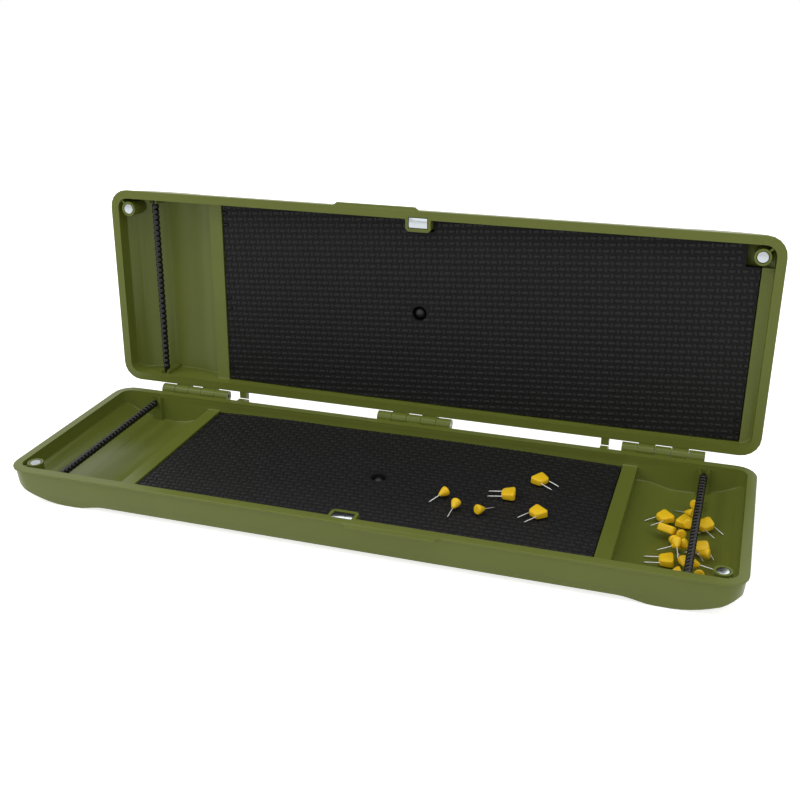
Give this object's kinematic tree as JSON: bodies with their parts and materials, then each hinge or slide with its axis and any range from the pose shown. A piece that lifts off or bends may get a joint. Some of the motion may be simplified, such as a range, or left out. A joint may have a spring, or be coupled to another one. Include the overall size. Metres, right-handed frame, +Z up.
{
  "type": "fishing rig box",
  "caption": "Slim hinged rig box standing open, with foam pads, end bays with ribbed rods, closing magnets, thumb tabs and loose rig pins.",
  "frame": {"origin": "middle of the flat underside of the base, between the two pods, which stand 2.4 mm below it", "axes": "+X along the box, +Y towards the hinges and the open lid, +Z up"},
  "size_m": [0.36, 0.143, 0.1337],
  "materials": {
    "case_plastic": "moulded olive green, semi-gloss",
    "pad_foam": "closed-cell foam sheet embossed with short dashes",
    "dark_plastic": "black, semi-gloss",
    "pin_plastic": "amber yellow, moulded on the wires",
    "nickel": "nickel-plated magnet",
    "steel": "drawn steel wire"
  },
  "bodies": {
    "base": {"base_shell": "case_plastic", "hinge_pin_left": "steel", "hinge_pin_centre": "steel", "hinge_pin_right": "steel", "base_foam": "pad_foam", "base_foam_stud": "dark_plastic", "base_magnet_left": "nickel", "base_magnet_right": "nickel", "base_magnet_centre": "nickel", "ribbed_rod_base_left": "dark_plastic", "ribbed_rod_base_right": "dark_plastic", "pad_pin_single_1": "pin_plastic", "pad_pin_single_2": "pin_plastic", "pad_pin_single_3": "pin_plastic", "pad_pin_double_4": "pin_plastic", "pad_pin_double_5": "pin_plastic", "pad_pin_double_6": "pin_plastic", "bay_pin_double_1": "pin_plastic", "bay_pin_double_2": "pin_plastic", "bay_pin_double_3": "pin_plastic", "bay_pin_double_4": "pin_plastic", "bay_pin_double_5": "pin_plastic", "bay_pin_double_6": "pin_plastic", "bay_pin_single_7": "pin_plastic", "bay_pin_single_8": "pin_plastic", "bay_pin_single_9": "pin_plastic", "bay_pin_single_10": "pin_plastic", "bay_pin_single_11": "pin_plastic", "bay_pin_single_12": "pin_plastic", "bay_pin_single_13": "pin_plastic", "bay_pin_single_14": "pin_plastic", "bay_pin_single_15": "pin_plastic", "bay_pin_single_16": "pin_plastic", "bay_pin_single_17": "pin_plastic", "bay_pin_single_18": "pin_plastic", "bay_pin_single_19": "pin_plastic"},
    "lid": {"lid_shell": "case_plastic", "lid_foam": "pad_foam", "lid_foam_stud": "dark_plastic", "lid_magnet_left": "nickel", "lid_magnet_right": "nickel", "lid_magnet_centre": "nickel", "ribbed_rod_lid_left": "dark_plastic"}
  },
  "joints": [
    {"name": "lid_hinge", "type": "hinge", "parent": "base", "child": "lid", "pos_m": [0, 0.05865, 0.01615], "axis": [1, 0, 0], "range_deg": [0, 94.2]}
  ]
}
